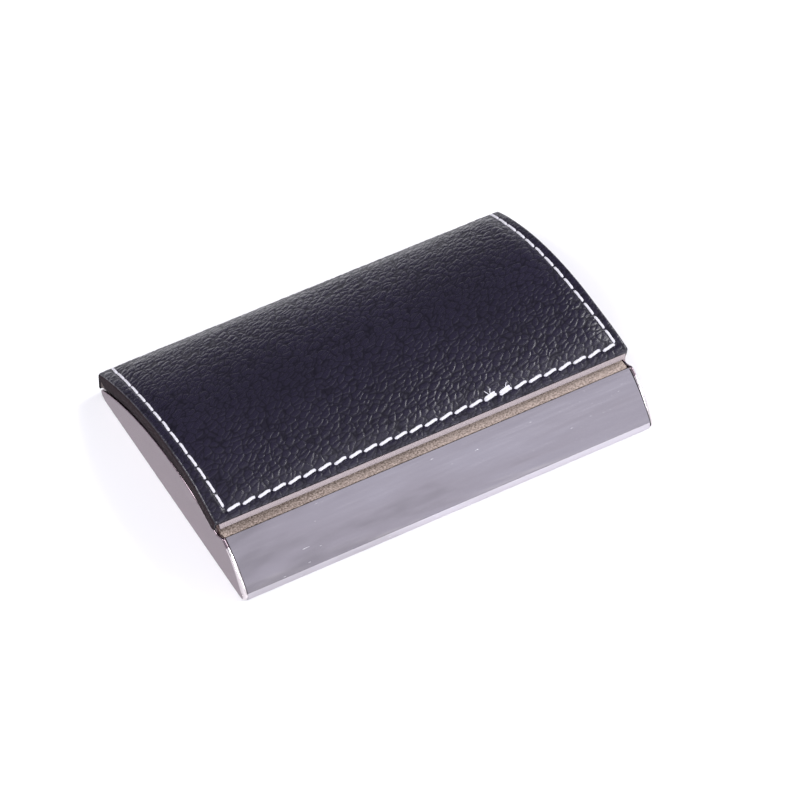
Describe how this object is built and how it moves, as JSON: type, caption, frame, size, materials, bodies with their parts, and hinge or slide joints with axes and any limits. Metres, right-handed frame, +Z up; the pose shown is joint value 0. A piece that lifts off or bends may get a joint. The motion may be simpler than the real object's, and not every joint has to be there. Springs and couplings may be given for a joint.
{
  "type": "business card case",
  "caption": "Flat hinged metal case for business cards with a sloped polished front, flat end caps and a domed lid covered in stitched leather.",
  "frame": {"origin": "under the middle of the closed case, on the plane it rests on", "axes": "+X along the length to the right end cap, +Y from the sloped front to the hinge, +Z up"},
  "size_m": [0.095, 0.0646, 0.0159],
  "materials": {
    "polished_nickel": "mirror-polished nickel plate with faint scratches",
    "satin_nickel": "fine satin nickel plate",
    "tray_satin": "grained satin, khaki",
    "lid_satin": "satin nickel plate, pinkish",
    "hinge_steel": "plain plated steel",
    "keeper_steel": "plain steel",
    "magnet": "nickel-coated magnet",
    "board": "pressed leather board",
    "padding": "thin foam",
    "leather": "pebbled, semi-gloss, dark navy",
    "thread": "twisted white sewing thread",
    "flock": "short black flock"
  },
  "bodies": {
    "base": {"base_plate": "polished_nickel", "front_panel": "polished_nickel", "end_cap_left": "satin_nickel", "end_cap_right": "satin_nickel", "card_tray": "tray_satin", "tray_lining": "flock", "magnet_left": "magnet", "magnet_right": "magnet", "hinge_base_leaf": "hinge_steel", "hinge_rivets": "hinge_steel", "hinge_pin": "hinge_steel"},
    "lid": {"lid_plate": "lid_satin", "lid_board": "board", "lid_padding": "padding", "lid_leather": "leather", "lid_thread": "thread", "lid_lining": "flock", "hinge_lid_leaf": "hinge_steel", "keeper_left": "keeper_steel", "keeper_right": "keeper_steel"}
  },
  "joints": [
    {"name": "lid_hinge", "type": "hinge", "parent": "base", "child": "lid", "pos_m": [0, 0.0298, 0.0017], "axis": [-1, 0, 0], "range_deg": [0, 100]}
  ]
}
